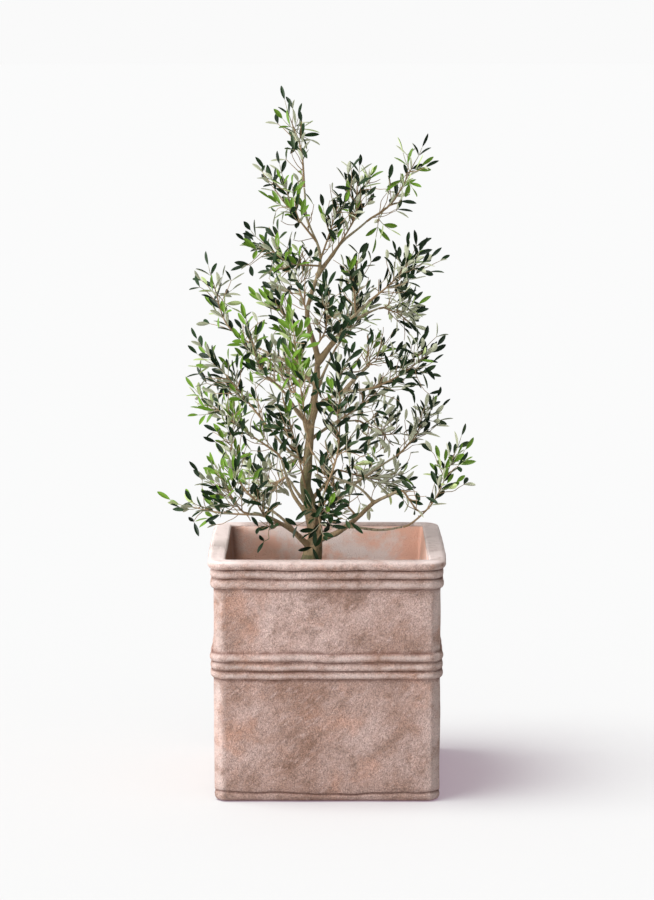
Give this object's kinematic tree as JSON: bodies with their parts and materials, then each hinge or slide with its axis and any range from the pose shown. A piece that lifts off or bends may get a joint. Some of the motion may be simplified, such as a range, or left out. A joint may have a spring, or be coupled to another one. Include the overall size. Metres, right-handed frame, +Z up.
{
  "type": "potted olive tree",
  "caption": "Young olive tree with an open crown of narrow grey-green leaves on a slender forked trunk, growing in a square terracotta planter with a rolled rim and raised beads.",
  "frame": {"origin": "middle of the planter's flat underside, on the ground", "axes": "+Z up, the planter's front faces -Y, +X to the right as seen from the front"},
  "size_m": [0.6459, 0.4991, 1.4089],
  "materials": {
    "terracotta": "hand-made terracotta with a pale bloom, matt",
    "soil": "loose dark potting soil, matt",
    "bark": "smooth grey-brown bark, olive-green near the foot, matt",
    "leaves": "leathery grey-green leaves with silvery undersides, satin"
  },
  "bodies": {
    "root": {"pot": "terracotta", "soil": "soil", "trunk": "bark", "bough_left_low": "bark", "bough_right_low": "bark", "bough_left_inner": "bark", "bough_right_low_back": "bark", "bough_right_sweep": "bark", "bough_front_sweep": "bark", "bough_front_low": "bark", "bough_back_low_left": "bark", "bough_back_low_right": "bark", "bough_left_rear": "bark", "bough_left_mid": "bark", "bough_right_back": "bark", "bough_back_mid_left": "bark", "bough_left_front": "bark", "bough_right_mid": "bark", "bough_right_mid_back": "bark", "bough_left_tall": "bark", "bough_back_mid_right": "bark", "bough_right_fork": "bark", "bough_right_inner": "bark", "bough_right_upper": "bark", "foliage_top": "leaves", "foliage_upper_middle": "leaves", "foliage_left_shoulder": "leaves", "foliage_left_upper_front": "leaves", "foliage_left_upper": "leaves", "foliage_front_upper": "leaves", "foliage_back_upper": "leaves", "foliage_centre_top": "leaves", "foliage_right_shoot": "leaves", "foliage_centre_right": "leaves", "foliage_right_upper": "leaves", "foliage_right_inner": "leaves", "foliage_right_mid_back": "leaves", "foliage_right_mid": "leaves", "foliage_right_mid_low": "leaves", "foliage_right_back": "leaves", "foliage_right_low_back": "leaves", "foliage_right_low": "leaves", "foliage_right_far": "leaves", "foliage_right_low_inner": "leaves", "foliage_front_sweep": "leaves", "foliage_front_centre": "leaves", "foliage_front_low": "leaves", "foliage_left_low": "leaves", "foliage_left_far": "leaves", "foliage_left_inner": "leaves", "foliage_left_rear": "leaves", "foliage_left_mid": "leaves", "foliage_left_front": "leaves", "foliage_left_tall": "leaves", "foliage_front_left": "leaves", "foliage_left_low_inner": "leaves", "foliage_back_low_left": "leaves", "foliage_back_low_right": "leaves", "foliage_back_mid_left": "leaves", "foliage_back_mid_right": "leaves"}
  },
  "joints": []
}
